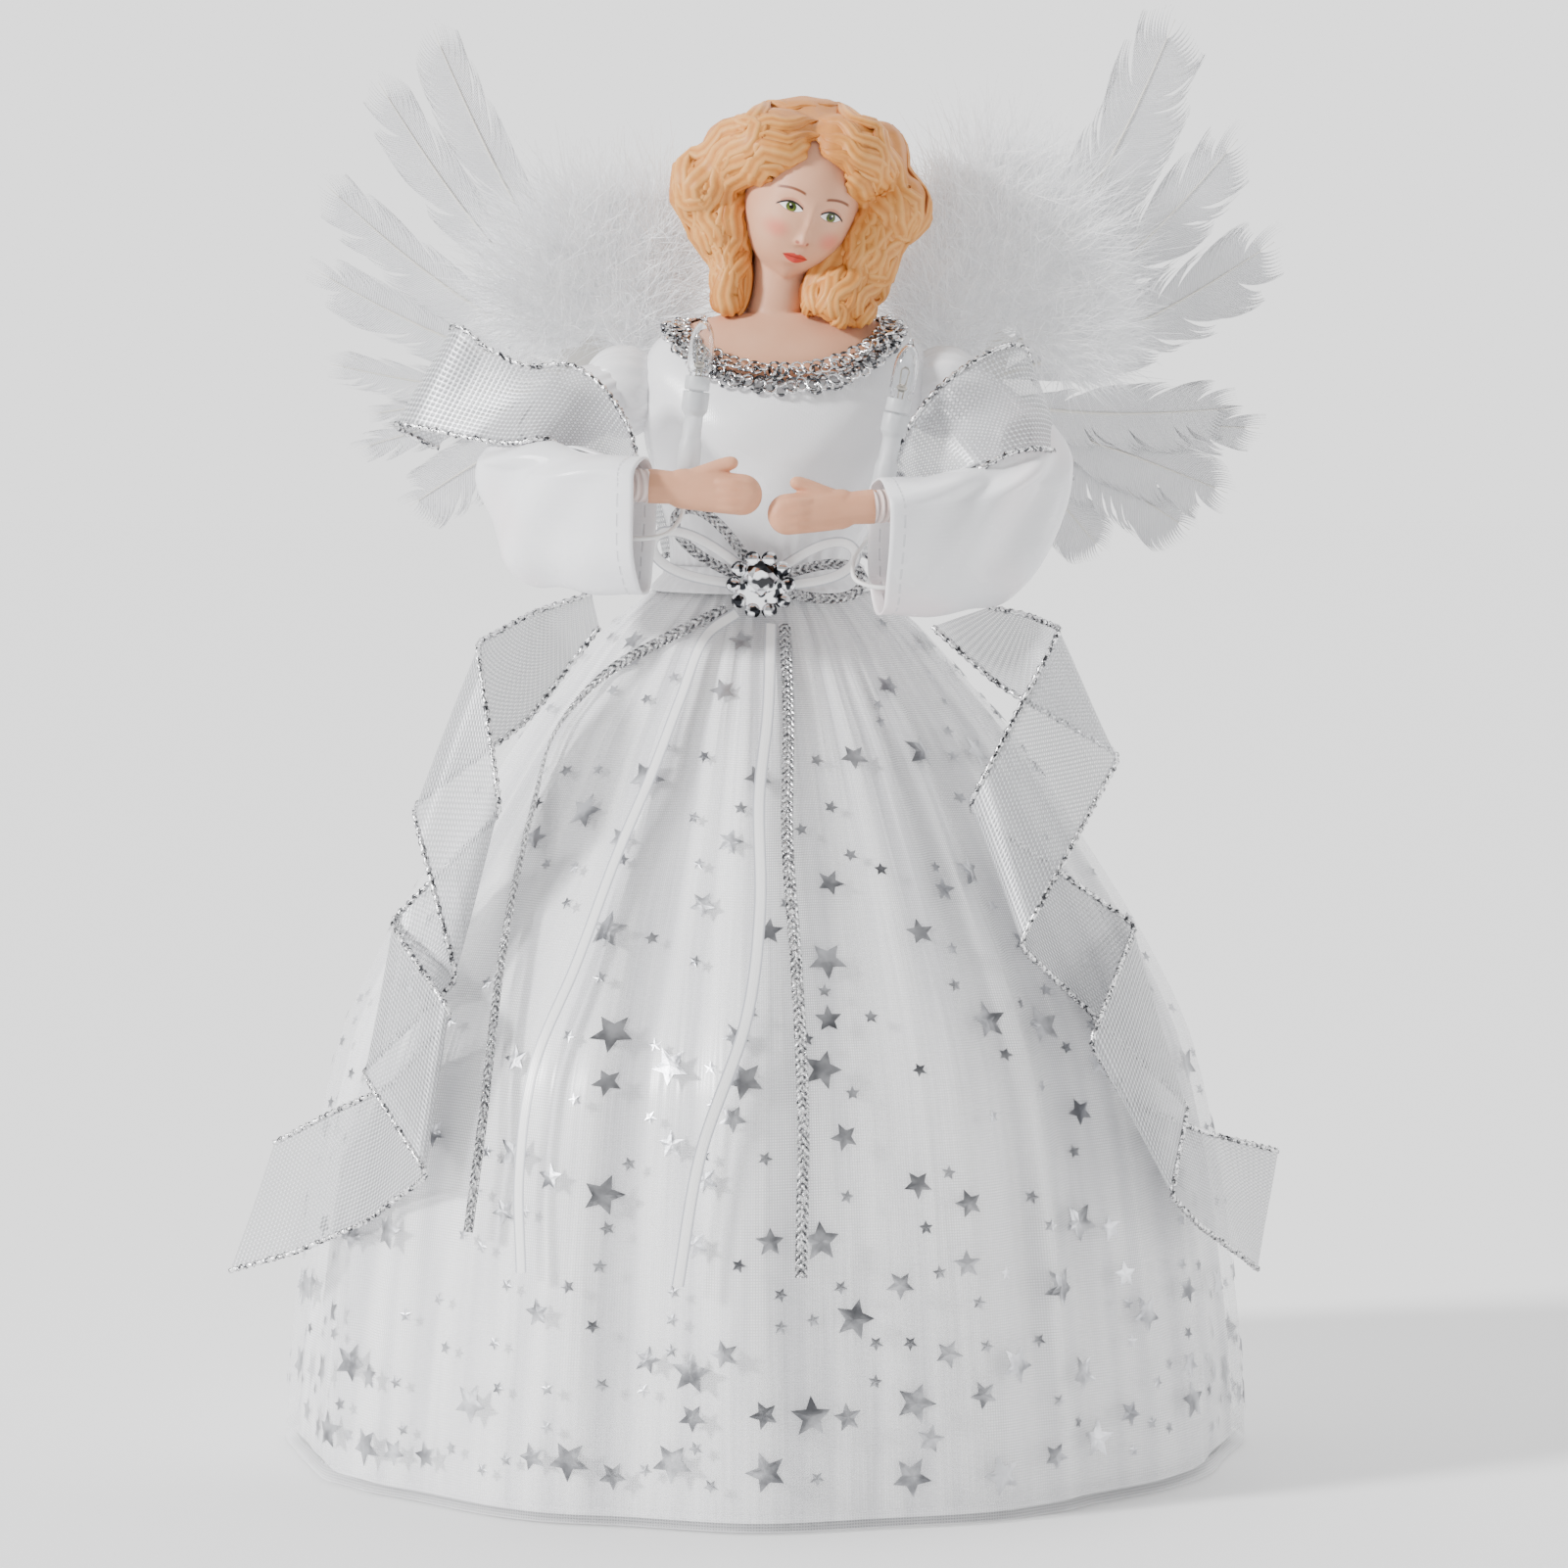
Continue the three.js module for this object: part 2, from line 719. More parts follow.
function makeHair(figure) {
  const mass = joined(...hairLobeShares.map(hairLobe));
  const skin = torsoSolid(bodiceOutside + trimRadius, breastplateBottom, torsoTop + clearance);
  const hair = cut(mass, headSolid(clearance), neckSolid(clearance), faceOpening(), skin);
  figure.add(piece("hair", hair, "hair"));
}

// Brooch: a faceted stone in a ring of mirror beads
const broochPoint = [777, 597];
const broochPlateRadius = 5;
const broochPlateThickness = 1.2;
const bossRadius = 2.6;
const beadRing = 5.4;
const beadRadius = 1.6;
const beadCount = 10;
const stoneRadius = 3.5;
const stoneHeight = 2.4;
const stoneTableShare = 0.45;
const stoneFacets = 8;
const stoneGirdleShare = 0.25;
const broochSegments = 20;
const bowThickness = 1;
const waistbandFront = -Math.max(...waistbandRing(skirtHeight - waistbandDrop, waistbandThickness).map((point) => -point.y));
const silverBowDepth = waistbandFront - clearance - bowThickness;
const whiteBowDepth = silverBowDepth - clearance - bowThickness;
const broochLow = seenAbove(broochPoint, whiteBowDepth).z - beadRing - beadRadius;
const broochDepth = skirtFront(0, broochLow, clearance) - beadRadius;
const bossLength = whiteBowDepth - clearance - broochDepth;

function makeBrooch(figure) {
  const centre = seenAbove(broochPoint, broochDepth);
  const disc = new THREE.CylinderGeometry(broochPlateRadius, broochPlateRadius, broochPlateThickness, broochSegments);
  const boss = new THREE.CylinderGeometry(bossRadius, bossRadius, bossLength, bowLoopPoints);
  const beads = [];
  for (let i = 0; i < beadCount; i++) {
    const angle = (i / beadCount) * TAU;
    const middle = place(centre.x + beadRing * Math.cos(angle), centre.y, centre.z + beadRing * Math.sin(angle));
    beads.push(ball(middle, beadRadius, 6, 4));
  }
  disc.translate(centre.x, centre.y, centre.z);
  boss.translate(centre.x, centre.y + bossLength / 2, centre.z);
  const setting = joined(disc, boss, ...beads);
  const stone = turned(
    [
      [0, 0],
      [stoneRadius, 0],
      [stoneRadius, stoneHeight * stoneGirdleShare],
      [stoneRadius * stoneTableShare, stoneHeight],
      [0, stoneHeight],
    ],
    stoneFacets,
  );
  stone.rotateX(Math.PI / 2).translate(centre.x, centre.y - broochPlateThickness / 2 - clearance, centre.z);
  figure.add(piece("brooch_setting", setting, "mirror"));
  figure.add(piece("brooch_stone", stone, "mirror"));
}

// Bows: flat loops of narrow ribbon behind the brooch
const narrowRibbon = 2.5;
const silverBowPoints = [
  [690, 522],
  [884, 592],
];
const whiteBowPoints = [
  [664, 551],
  [876, 562],
];
const loopWidthShare = 0.34;
const bowKnotRadius = 2.8;
const bowLoopPoints = 12;
const bowLoopMiddleShare = 0.6;
const bowLoopStartShare = 0.35;

// A flat teardrop loop of ribbon from the knot to its tip
function bowLoop(centre, tip, halfWidth) {
  const along = tip.clone().sub(centre);
  const length = along.length();
  const direction = new THREE.Vector2(along.x, along.z).divideScalar(length);
  const outline = (shrink) =>
    Array.from({ length: bowLoopPoints }, (_, i) => {
      const angle = (-i / bowLoopPoints) * TAU;
      const swell = (1 - Math.cos(angle)) / 2;
      const reach = length * lerp(bowLoopMiddleShare, swell, shrink);
      const out = halfWidth * shrink * Math.sin(angle) * (bowLoopStartShare + swell);
      return new THREE.Vector2(
        centre.x + direction.x * reach - direction.y * out,
        centre.z + direction.y * reach + direction.x * out,
      );
    });
  const shape = new THREE.Shape(outline(1));
  shape.holes.push(new THREE.Path(outline(1 - (2 * narrowRibbon) / length)));
  return shape;
}

function makeBow(figure, name, tips, depth, finish) {
  const centre = seenAbove(broochPoint, depth);
  const loops = tips.map((point) => {
    const tip = seenAbove(point, depth);
    const halfWidth = (loopWidthShare * centre.distanceTo(tip)) / 2;
    return plate(bowLoop(centre, tip, halfWidth), depth, bowThickness);
  });
  const knot = new THREE.CylinderGeometry(bowKnotRadius, bowKnotRadius, bowThickness, 12);
  knot.translate(centre.x, depth + bowThickness / 2, centre.z);
  figure.add(piece(name, joined(...loops, knot), finish));
}

// Ribbon tails that lie on the skirt: points down their middle, and how far they stand off
const tailPoints = {
  silver_tail_right: [
    [742, 622],
    [680, 652],
    [616, 690],
    [568, 745],
    [545, 820],
    [515, 960],
    [492, 1150],
    [478, 1258],
  ],
  silver_tail_left: [
    [801, 637],
    [805, 732],
    [804, 860],
    [813, 985],
    [820, 1140],
    [818, 1305],
  ],
  white_tail_right: [
    [752, 626],
    [722, 648],
    [694, 715],
    [667, 786],
    [630, 873],
    [588, 985],
    [545, 1090],
    [530, 1200],
    [532, 1300],
  ],
  white_tail_left: [
    [787, 637],
    [784, 727],
    [775, 816],
    [776, 929],
    [762, 1041],
    [715, 1180],
    [692, 1313],
  ],
};
const silverTailGap = 1;
const whiteTailGap = 2.3;

const solveSteps = 12;

function onSkirt(point, gap) {
  let depth = -hemRadius / 2;
  for (let i = 0; i < solveSteps; i++) {
    const guess = seenBelow(point, depth);
    depth = skirtFront(guess.x, guess.z, gap);
  }
  return seenBelow(point, depth);
}

function makeTail(figure, name, points, gap, finish) {
  const middle = points.map((point) => onSkirt(point, gap));
  const half = narrowRibbon / 2;
  const edge = (sign) =>
    middle.map((point, i) => {
      const along = middle[Math.min(i + 1, middle.length - 1)].clone().sub(middle[Math.max(i - 1, 0)]);
      const side = place(-along.z, 0, along.x).normalize().multiplyScalar(sign * half);
      const x = point.x + side.x;
      const z = point.z + side.z;
      return place(x, skirtFront(x, z, gap), z);
    });
  figure.add(piece(name, band(edge(1), edge(-1), points.length * 2 - 2), finish));
}

// Stole: a wide sheer ribbon. Its tails hang in zigzags beside the skirt, with folds turned to the back and to the front.
// Each row: point of the upper edge, point of the lower edge, the depth shares of the two, and the way it folds:
// 1 where the ribbon turns to the front, -1 where it turns to the back, and 0 where it runs on
const rightStoleTailShares = [
  [604, 606, 612, 640, -0.6, -0.6, 0],
  [545, 625, 540, 735, -0.64, -0.66, 0],
  [487, 657, 421, 824, -0.9, -0.9, 1],
  [511, 830, 467, 1000, -1.12, -1.1, -1],
  [398, 942, 370, 1094, -0.82, -0.98, 1],
  [461, 1035, 437, 1200, -1.36, -1.4, -1],
  [400, 1108, 373, 1248, -0.96, -1, 0],
  [335, 1138, 300, 1279, -0.68, -0.74, 0],
  [280, 1167, 235, 1297, -0.5, -0.54, 0],
];
const leftStoleTailShares = [
  [1010, 620, 952, 640, -0.5, -0.54, 0],
  [1050, 628, 1020, 700, -0.54, -0.6, 0],
  [1083, 642, 1144, 771, -0.84, -0.84, 1],
  [988, 825, 1040, 965, -1.04, -1.3, -1],
  [1160, 945, 1213, 1128, -0.72, -0.74, 1],
  [1113, 1065, 1196, 1221, -1.38, -1.24, -1],
  [1150, 1125, 1225, 1252, -1.16, -0.98, 0],
  [1229, 1156, 1270, 1284, -0.6, -0.56, 0],
  [1305, 1175, 1284, 1296, -0.42, -0.4, 0],
];
const stoleTailGap = 0.3;
const stoleTailSteps = 56;
const foldStretch = 4;
const foldSamples = 6;
const foldOpenPlaceShare = 0.16;
const foldOpenShare = 0.06;

// A point of the stole's tail at its own depth, but never inside the skirt
function besideSkirt(point, depth) {
  let y = depth;
  for (let i = 0; i < solveSteps; i++) {
    const guess = seenBelow(point, y);
    y = Math.min(depth, skirtFront(guess.x, guess.z, stoleTailGap));
  }
  return seenBelow(point, y);
}

// Each fold with a row before and after it, which stand apart so that the ribbon doesn't close on itself
function openedFolds(rows) {
  return rows.flatMap((row, i) => {
    const side = row[6];
    if (!side) return [row];
    const beside = (other, standOff) => {
      const shares = row.map((value, k) => lerp(value, other[k], foldOpenPlaceShare));
      return [...shares.slice(0, 4), shares[4] + standOff, shares[5] + standOff];
    };
    return [beside(rows[i - 1], side * foldOpenShare), row, beside(rows[i + 1], -side * foldOpenShare)];
  });
}

// Edge points at a distance along the ribbon, averaged over a stretch of it so that every fold turns in an arc
function roundedEdges(upper, lower, distances, along) {
  const half = Math.min(foldStretch, along, distances.at(-1) - along);
  const points = [place(0, 0, 0), place(0, 0, 0)];
  let weights = 0;
  for (let k = -foldSamples; k <= foldSamples; k++) {
    const weight = 1 - Math.abs(k) / (foldSamples + 1);
    const distance = along + (k / foldSamples) * half;
    const next = Math.max(distances.findIndex((value) => value >= distance - weldDistance), 1);
    const share = (distance - distances[next - 1]) / (distances[next] - distances[next - 1]);
    points[0].addScaledVector(upper[next - 1].clone().lerp(upper[next], share), weight);
    points[1].addScaledVector(lower[next - 1].clone().lerp(lower[next], share), weight);
    weights += weight;
  }
  return points.map((point) => point.divideScalar(weights));
}

function makeStoleTail(figure, name, folds) {
  const rows = openedFolds(folds);
  const upper = rows.map(([x, y, , , depth]) => besideSkirt([x, y], depth * figureDepth));
  const lower = rows.map(([, , x, y, , depth]) => besideSkirt([x, y], depth * figureDepth));
  const middles = upper.map((point, i) => point.clone().lerp(lower[i], 0.5));
  const distances = [0];
  for (let i = 1; i < middles.length; i++) distances.push(distances[i - 1] + middles[i].distanceTo(middles[i - 1]));
  const edges = Array.from({ length: stoleTailSteps + 1 }, (_, i) =>
    roundedEdges(upper, lower, distances, (distances.at(-1) * i) / stoleTailSteps),
  );
  const middleOf = (i) => edges[THREE.MathUtils.clamp(i, 0, stoleTailSteps)].reduce((a, b) => a.clone().lerp(b, 0.5));
  const rings = edges.map(([a, b], i) => {
    const along = middleOf(i + 1).sub(middleOf(i - 1));
    const normal = b.clone().sub(a).cross(along).setLength(ribbonThickness / 2);
    return [a.clone().add(normal), b.clone().add(normal), b.clone().sub(normal), a.clone().sub(normal)];
  });
  figure.add(piece(name, loft(rings), "sheer"));
}

const stoleBackLow = 3.5;
const stoleBackHigh = 20;
const stoleBackGap = 1.6;
const stoleBackAngles = [8, 30, 60, 90, 120, 150, 172];
const stoleBackSteps = 16;

// The stole runs across the back below the wings
function makeStoleBack(figure) {
  const edge = (rise) =>
    stoleBackAngles.map((degrees) => {
      const { halfWidth, halfDepth, middle } = torsoAt(skirtHeight + rise);
      const out = bodiceOutside + stoleBackGap;
      const angle = radians(degrees);
      return place(
        middle.x + (halfWidth + out) * Math.cos(angle),
        middle.y + (halfDepth + out) * Math.sin(angle),
        middle.z,
      );
    });
  figure.add(piece("stole_back", band(edge(stoleBackLow), edge(stoleBackHigh), stoleBackSteps), "sheer"));
}

// Wings: quill feathers in layers on a card, with down over their roots
const wingPlateDepth = 19.6;
const cardThickness = 1.2;
const featherThickness = 0.75;
const featherLayer = featherThickness + clearance;
const wingSweep = 9;
const wingSpread = 100;
const wingCardDepth = wingPlateDepth + cardThickness + clearance;
const featherDepth = wingCardDepth + cardThickness + clearance + featherThickness / 2;
// Each row: tip across, tip down, width in points, bend share
const featherPoints = {
  right: [
    [438, 24, 62, 0.03],
    [381, 78, 60, 0.04],
    [327, 185, 60, 0.05],
    [317, 274, 56, 0.05],
    [331, 371, 42, 0.04],
    [372, 424, 26, -0.02],
    [361, 460, 38, -0.03],
    [414, 520, 72, -0.04],
  ],
  left: [
    [1205, 12, 96, -0.05],
    [1270, 137, 78, -0.05],
    [1308, 244, 86, -0.05],
    [1262, 417, 76, -0.04],
    [1292, 438, 56, -0.02],
    [1259, 506, 72, 0.02],
    [1219, 544, 74, 0.03],
    [1128, 566, 66, 0.04],
  ],
};
// The quills are bundled at the root, one step of points below another
const wingRootPoints = { right: [640, 390], left: [962, 396] };
const wingRootStep = 2;
// Along a feather: place, leading vane and trailing vane as shares of its width
const vaneShares = [
  [0, 0.03, 0.03],
  [0.14, 0.05, 0.06],
  [0.24, 0.2, 0.3],
  [0.4, 0.36, 0.5],
  [0.56, 0.42, 0.56],
  [0.7, 0.42, 0.56],
  [0.82, 0.38, 0.5],
  [0.91, 0.3, 0.34],
  [0.97, 0.18, 0.12],
];
const splitPlaceShares = [0.62, 0.78];
const splitWidthShare = 0.035;
const splitReachShare = 0.14;
const vaneThinShare = 0.6;
const tipHookShare = 0.06;
// The wings sweep back towards their tips
function wingDepth(x, z, side) {
  const root = seenAbove(wingRootPoints[side], featherDepth);
  const reach = Math.hypot(x - root.x, z - root.z) / wingSpread;
  return wingSweep * reach ** 2;
}

function makeFeather(name, side, [tipX, tipY, width, bendShare], layer) {
  const depth = featherDepth + layer * featherLayer;
  const [rootX, rootY] = wingRootPoints[side];
  const root = seenAbove([rootX, rootY + layer * wingRootStep], depth);
  const tip = seenAbove([tipX, tipY], depth);
  const along = tip.clone().sub(root);
  const length = along.length();
  const across = place(-along.z, 0, along.x).divideScalar(length);
  const wide = width * viewPointWidth;
  const lead = side === "right" ? -1 : 1;
  const at = (share, out, rise) => {
    const bend = Math.sin(share * Math.PI) * bendShare * length;
    const x = root.x + along.x * share + across.x * (out + bend);
    const z = root.z + along.z * share + across.z * (out + bend);
    return place(x, depth + wingDepth(x, z, side) + rise, z);
  };
  const rings = vaneShares.map(([share, leading, trailing]) => {
    const thick = (featherThickness / 2) * (1 - vaneThinShare * share);
    return [
      at(share, lead * leading * wide, 0),
      at(share, 0, thick),
      at(share, -lead * trailing * wide, 0),
      at(share, 0, -thick),
    ];
  });
  rings.push([at(1, lead * tipHookShare * wide, 0)]);
  const splits = splitPlaceShares.map((share) => {
    const notch = [
      at(share - splitWidthShare / 2, -lead * wide, 0),
      at(share + splitWidthShare / 2, -lead * wide, 0),
      at(share - splitWidthShare, -lead * splitReachShare * wide, 0),
    ];
    const shift = place(0, wingSweep + overrun, 0);
    return loft([notch.map((point) => point.clone().sub(shift)), notch.map((point) => point.clone().add(shift))]);
  });
  return piece(name, cut(loft(rings), ...splits), "feather");
}

const wingCardPoints = {
  right: [
    [742, 372],
    [660, 330],
    [600, 320],
    [566, 346],
    [580, 412],
    [650, 440],
    [742, 420],
  ],
  left: [
    [836, 372],
    [930, 330],
    [1000, 320],
    [1034, 346],
    [1018, 412],
    [950, 440],
    [836, 420],
  ],
};
const wingPlatePoints = [
  [728, 378],
  [850, 378],
  [862, 440],
  [716, 440],
];

function outlineOf(points, depth) {
  return new THREE.Shape(
    points.map((point) => {
      const spot = seenAbove(point, depth);
      return new THREE.Vector2(spot.x, spot.z);
    }),
  );
}

// Down: rows of point across, point down, half width and half height in points
const downPoints = {
  right: [
    [648, 300, 62, 66],
    [600, 262, 66, 72],
    [560, 300, 60, 62],
    [668, 262, 44, 70],
  ],
  left: [
    [968, 300, 60, 76],
    [1010, 230, 66, 82],
    [1060, 268, 68, 84],
    [1100, 330, 60, 62],
  ],
};
const downHalfDepth = 4.2;
const downTuftShare = 0.12;
const downTufts = 7;
const downColumns = 14;
const downRows = 5;

function downLobe([across, down, wide, tall]) {
  const depth = wingCardDepth - clearance - downHalfDepth;
  const centre = seenAbove([across, down], depth);
  const sphere = new THREE.SphereGeometry(1, downColumns, downRows).rotateX(Math.PI / 2);
  const corners = sphere.getAttribute("position");
  const point = place(0, 0, 0);
  for (let i = 0; i < corners.count; i++) {
    point.fromBufferAttribute(corners, i);
    const around = Math.atan2(point.z, point.x);
    const tuft = 1 + downTuftShare * Math.cos(downTufts * around) * Math.hypot(point.x, point.z);
    corners.setXYZ(
      i,
      centre.x + point.x * tuft * wide * viewPointWidth,
      centre.y + point.y * downHalfDepth,
      centre.z + point.z * tuft * tall * viewPointWidth,
    );
  }
  return closedSurface(sphere);
}

function makeWing(side) {
  const wing = new THREE.Group();
  const card = plate(outlineOf(wingCardPoints[side], wingCardDepth), wingCardDepth, cardThickness);
  wing.add(piece(`wing_card_${side}`, card, "card"));
  featherPoints[side].forEach((row, i) => {
    wing.add(makeFeather(`feather_${side}_${i + 1}`, side, row, i));
  });
  wing.add(piece(`wing_down_${side}`, joined(...downPoints[side].map(downLobe)), "feather"));
  return wing;
}

function makeWingPlate(figure) {
  const shape = outlineOf(wingPlatePoints, wingPlateDepth);
  figure.add(piece("wing_plate", plate(shape, wingPlateDepth, cardThickness), "card"));
}

// Arms: a padded wire in a bell sleeve, which carries the hand, the candle and a loop of the stole
const shoulderRadius = 4.2;
const wristRadius = 3.4;
const wristStraight = 5;
const shoulderRise = 38;
const shoulderBack = 1;
const armSides = 8;
const armSteps = 12;
const arms = {
  right: {
    sign: -1,
    midPoints: [575, 418, -0.12],
    elbowPoints: [530, 468, -0.38],
    forearmPoints: [590, 487, -0.7],
    wristPoints: [675, 497, -0.84],
    fingerPoints: [780, 504, -0.88],
    lampPoints: [698, 515, 721, 315],
    lampDepthShare: -0.728,
  },
  left: {
    sign: 1,
    midPoints: [1012, 425, -0.12],
    elbowPoints: [1052, 477, -0.36],
    forearmPoints: [985, 508, -0.64],
    wristPoints: [880, 518, -0.8],
    fingerPoints: [782, 524, -0.86],
    lampPoints: [893, 535, 933, 335],
    lampDepthShare: -0.575,
  },
};

const seenRow = ([across, down, depthShare]) => seenAbove([across, down], depthShare * figureDepth);

function shoulderPivot(sign) {
  const { halfWidth, middle } = torsoAt(skirtHeight + shoulderRise);
  const out = halfWidth + bodiceOutside + clearance + shoulderRadius;
  return place(middle.x + sign * out, shoulderBack, skirtHeight + shoulderRise);
}

function armRoute(arm) {
  const wrist = seenRow(arm.wristPoints);
  const back = wrist.clone().sub(seenRow(arm.fingerPoints)).setLength(wristStraight);
  const bends = [arm.midPoints, arm.elbowPoints, arm.forearmPoints].map(seenRow);
  const points = [shoulderPivot(arm.sign), ...bends, wrist.clone().add(back), wrist];
  return new THREE.CatmullRomCurve3(points, false, "centripetal");
}

function makeArmCore(side, arm) {
  const route = armRoute(arm);
  const core = tube(route, (share) => lerp(shoulderRadius, wristRadius, share), armSides, armSteps);
  const shoulder = ball(shoulderPivot(arm.sign), shoulderRadius, 10, 7);
  return piece(`arm_core_${side}`, joined(core, shoulder), "padding");
}

// Sleeve sections: place along the arm, half depth, rise over the arm and drop below it, as shares
const sleeveHalfDepth = 7.6;
const sleeveHang = 23;
const sleeveShares = [
  [0.03, 1.05, 1.0, 0.36],
  [0.12, 1.12, 1.15, 0.38],
  [0.24, 1.08, 1.05, 0.46],
  [0.36, 1.02, 1.0, 0.66],
  [0.46, 1.0, 1.0, 0.88],
  [0.56, 0.98, 1.0, 0.98],
  [0.68, 0.94, 1.0, 1.0],
  [0.8, 0.94, 1.0, 0.97],
  [0.9, 0.98, 1.0, 0.95],
  [0.955, 1.02, 1.0, 0.95],
];
const sleeveColumns = 16;
const sleeveFold = 0.5;
const sleeveFoldCount = 5;
const sleeveFoldDrift = 9;
const sleeveSwellShare = 0.12;
const sleeveEaseShares = [-0.24, -0.16, -0.08, 0, 0.08, 0.16, 0.24];
const sleeveRise = shoulderRadius + clearance * 2 + clothThickness;

// The cloth turns more slowly round the elbow than the arm does
function easedHeading(route, along) {
  const sum = place(0, 0, 0);
  for (const share of sleeveEaseShares) sum.add(route.getTangentAt(THREE.MathUtils.clamp(along + share, 0, 1)));
  return sum.normalize();
}

function sleeveRing(route, [along, depthShare, riseShare, dropShare], inset) {
  const middle = route.getPointAt(along);
  const tangent = route.getTangentAt(along);
  const heading = easedHeading(route, along);
  const across = place(-heading.y, heading.x, 0).normalize();
  const ring = [];
  for (let j = 0; j < sleeveColumns; j++) {
    const angle = (j / sleeveColumns) * TAU;
    const up = Math.sin(angle);
    const hang = Math.max(-up, 0);
    const fold = sleeveFold * hang * (1 + Math.sin(sleeveFoldCount * angle + sleeveFoldDrift * along));
    const out = (sleeveHalfDepth * depthShare + fold - inset) * Math.cos(angle) * (1 + sleeveSwellShare * hang);
    const rise = (sleeveRise * riseShare) / Math.hypot(tangent.x, tangent.y);
    const reach = (up > 0 ? rise : sleeveHang * dropShare) - inset;
    ring.push(middle.clone().addScaledVector(across, out).add(place(0, 0, up * reach)));
  }
  return ring;
}

function makeSleeve(side, arm) {
  const route = armRoute(arm);
  const outside = sleeveShares.map((row) => sleeveRing(route, row, 0));
  const inside = sleeveShares.map((row) => sleeveRing(route, row, clothThickness)).reverse();
  return piece(`sleeve_${side}`, loft([...outside, ...inside], true), "satin");
}

// Hands: mitten-like, with a thumb and pressed finger grooves
const handHalfHeight = 4.3;
const handHalfDepth = 3.1;
// Along a hand: place, half height, half depth and rise
const handShares = [
  [0, 0.79, 1.02, 0],
  [0.16, 0.8, 0.98, 0],
  [0.34, 0.95, 0.98, -0.03],
  [0.52, 1, 0.95, -0.08],
  [0.72, 1, 0.88, -0.12],
  [0.88, 0.9, 0.74, -0.12],
  [0.96, 0.7, 0.55, -0.1],
  [1, 0.4, 0.3, -0.08],
];
const thumbShares = [
  [0.16, 0.35],
  [0.42, 0.98],
  [0.7, 1.42],
];
const thumbRadius = 1.55;
const fingerGrooveShares = [0.42, -0.08, -0.56];
const grooveRadius = 0.45;
const grooveStartShare = 0.62;
const handColumns = 9;
const thumbSides = 8;
const thumbSteps = 5;
const thumbTaperShare = 0.15;
const grooveDepthShare = 0.86;
const grooveSides = 4;

function handSolid(length) {
  const rings = handShares.map(([along, tall, deep, rise]) => {
    const ring = [];
    for (let j = 0; j < handColumns; j++) {
      const angle = (j / handColumns) * TAU;
      const y = handHalfDepth * deep * Math.cos(angle);
      const z = handHalfHeight * (rise + tall * Math.sin(angle));
      ring.push(place(along * length, y, z));
    }
    return ring;
  });
  const thumbLine = new THREE.CatmullRomCurve3(
    thumbShares.map(([along, rise]) => place(along * length, 0, rise * handHalfHeight)),
  );
  const thumb = tube(thumbLine, (share) => thumbRadius * (1 - thumbTaperShare * share), thumbSides, thumbSteps);
  const tip = ball(thumbLine.getPoint(1), thumbRadius * (1 - thumbTaperShare), thumbSides, thumbSteps);
  const grooves = fingerGrooveShares.map((share) => {
    const reach = length * (1 - grooveStartShare) + overrun;
    const groove = new THREE.CylinderGeometry(grooveRadius, grooveRadius, reach, grooveSides).rotateZ(Math.PI / 2);
    const z = share * handHalfHeight;
    return groove.translate(grooveStartShare * length + reach / 2, -handHalfDepth * grooveDepthShare, z);
  });
  return cut(joined(loft(rings), thumb, tip), ...grooves);
}

function makeHand(side, arm) {
  const wrist = seenRow(arm.wristPoints);
  const fingers = seenRow(arm.fingerPoints);
  const along = fingers.clone().sub(wrist);
  const length = along.length() - clearance;
  const hand = handSolid(length);
  if (arm.sign > 0) hand.scale(-1, 1, 1);
  const mesh = piece(`hand_${side}`, hand, "bisque");
  const level = along.clone().normalize();
  mesh.position.copy(wrist).addScaledVector(level, clearance);
  const turn = arm.sign < 0 ? Math.atan2(level.y, level.x) : Math.atan2(-level.y, -level.x);
  mesh.rotation.set(0, -arm.sign * -Math.asin(level.z), turn);
  return mesh;
}

// Candles: a stepped holder, and a push-in lamp that pulls out along it
const holderBodyRadius = 2.3;
const holderBodyLength = 12.6;
const holderNeckRadius = 1.85;
const holderNeckLength = 5.6;
const holderCollarRadius = 2.65;
const holderCollarLength = 4.2;
const socketRadius = 1.75;
const socketDepth = 4.6;
const holderStep = 0.7;
const flangeRadiusLamp = 2.5;
const flangeLength = 2.8;
const bulbRadius = 2.5;
const bulbLength = 13.6;
const bulbNeckRadius = 1.8;
const bulbWall = 0.4;
const bulbSeat = 1.6;
const pipRadius = 0.45;
const pipLengthShare = 1.6;
const pipRoundShare = 0.5;
const pipTopShare = 0.9;
const lampSegments = 10;

function holderProfile() {
  const neckStart = holderBodyLength;
  const collarStart = neckStart + holderNeckLength;
  const top = collarStart + holderCollarLength;
  return [
    [0, 0],
    [holderBodyRadius - holderStep / 2, 0],
    [holderBodyRadius, holderStep],
    [holderBodyRadius, neckStart - holderStep],
    [holderNeckRadius, neckStart + holderStep],
    [holderNeckRadius, collarStart - holderStep],
    [holderCollarRadius, collarStart + holderStep],
    [holderCollarRadius, top],
    [socketRadius, top],
    [socketRadius, top - socketDepth],
    [0, top - socketDepth],
  ];
}

const socketTop = holderBodyLength + holderNeckLength + holderCollarLength;

function bulbBaseProfile() {
  const plug = socketRadius - clearance;
  const low = socketTop + clearance;
  const high = low + flangeLength;
  const bore = bulbNeckRadius + clearance;
  return [
    [0, socketTop - socketDepth + clearance],
    [plug, socketTop - socketDepth + clearance],
    [plug, low],
    [flangeRadiusLamp - holderStep / 2, low],
    [flangeRadiusLamp, low + holderStep / 2],
    [flangeRadiusLamp, high],
    [bore, high],
    [bore, high - bulbSeat],
    [0, high - bulbSeat],
  ];
}

